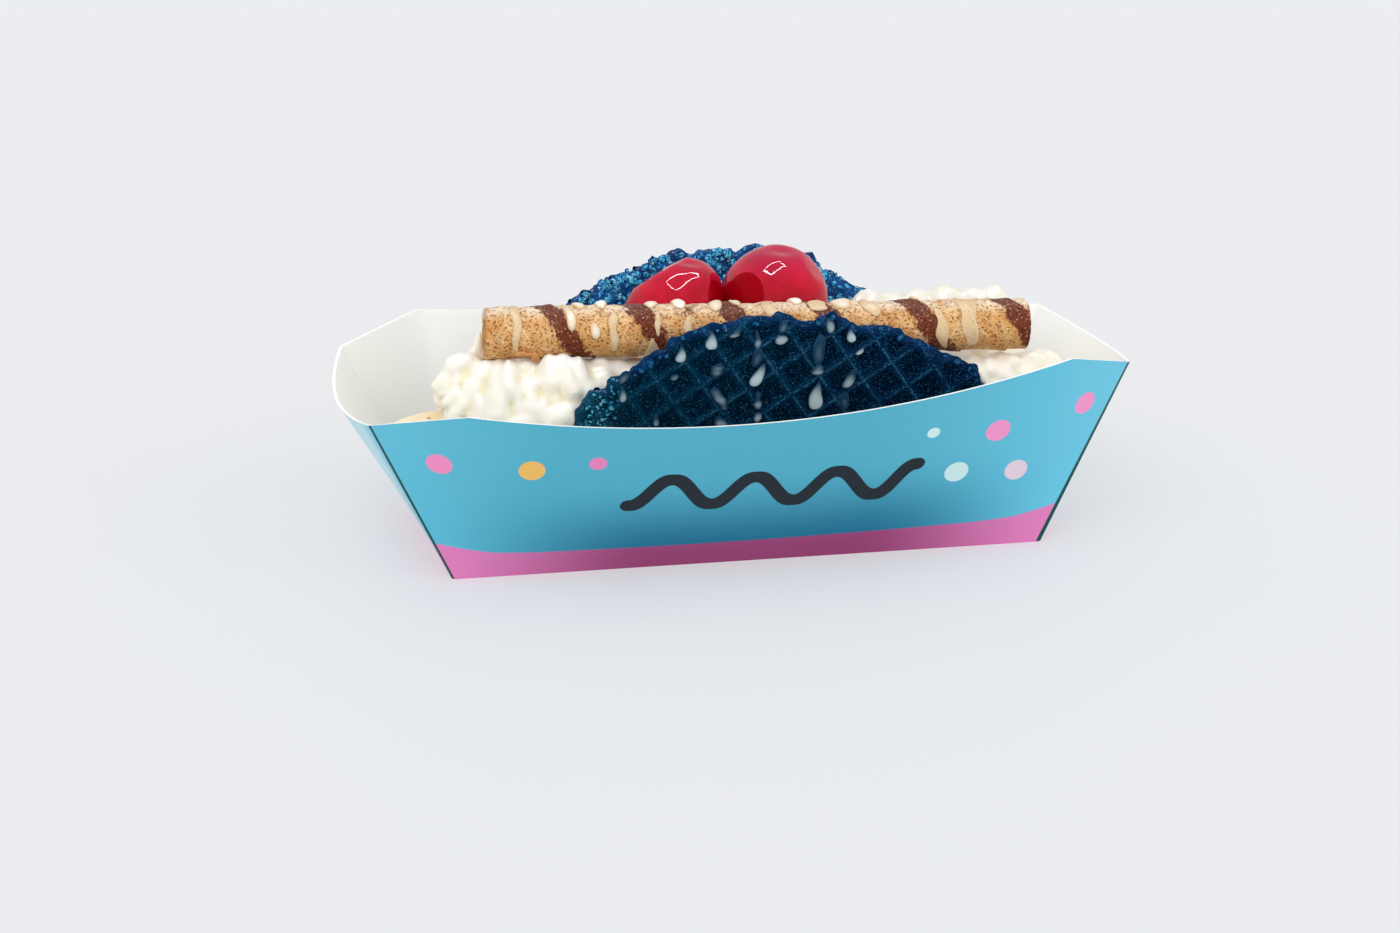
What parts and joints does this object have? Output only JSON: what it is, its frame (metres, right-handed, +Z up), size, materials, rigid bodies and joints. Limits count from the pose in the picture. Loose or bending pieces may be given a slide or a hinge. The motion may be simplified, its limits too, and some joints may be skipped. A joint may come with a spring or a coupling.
{
  "type": "waffle taco",
  "caption": "Folded waffle disc filled with whipped cream, topped with a rolled wafer and cherries, in a flared paperboard tray.",
  "frame": {"origin": "middle of the flat underside of the tray", "axes": "+X along the tray towards its right end as pictured, +Y away from the viewer across the tray, +Z up"},
  "size_m": [0.192, 0.1105, 0.0666],
  "materials": {
    "paperboard": "printed light blue and pink outside, off-white inside",
    "waffle": "baked waffle dyed dark blue, with white icing drips",
    "cream": "soft white whipped cream",
    "wafer": "golden baked wafer with cocoa bands and white icing drips",
    "cherry": "glossy red syrup-coated cherry",
    "banana": "pale peeled banana"
  },
  "bodies": {
    "root": {"tray": "paperboard", "waffle_shell": "waffle", "whipped_cream": "cream", "wafer_stick": "wafer", "cherry_left": "cherry", "cherry_right": "cherry", "banana": "banana"}
  },
  "joints": []
}
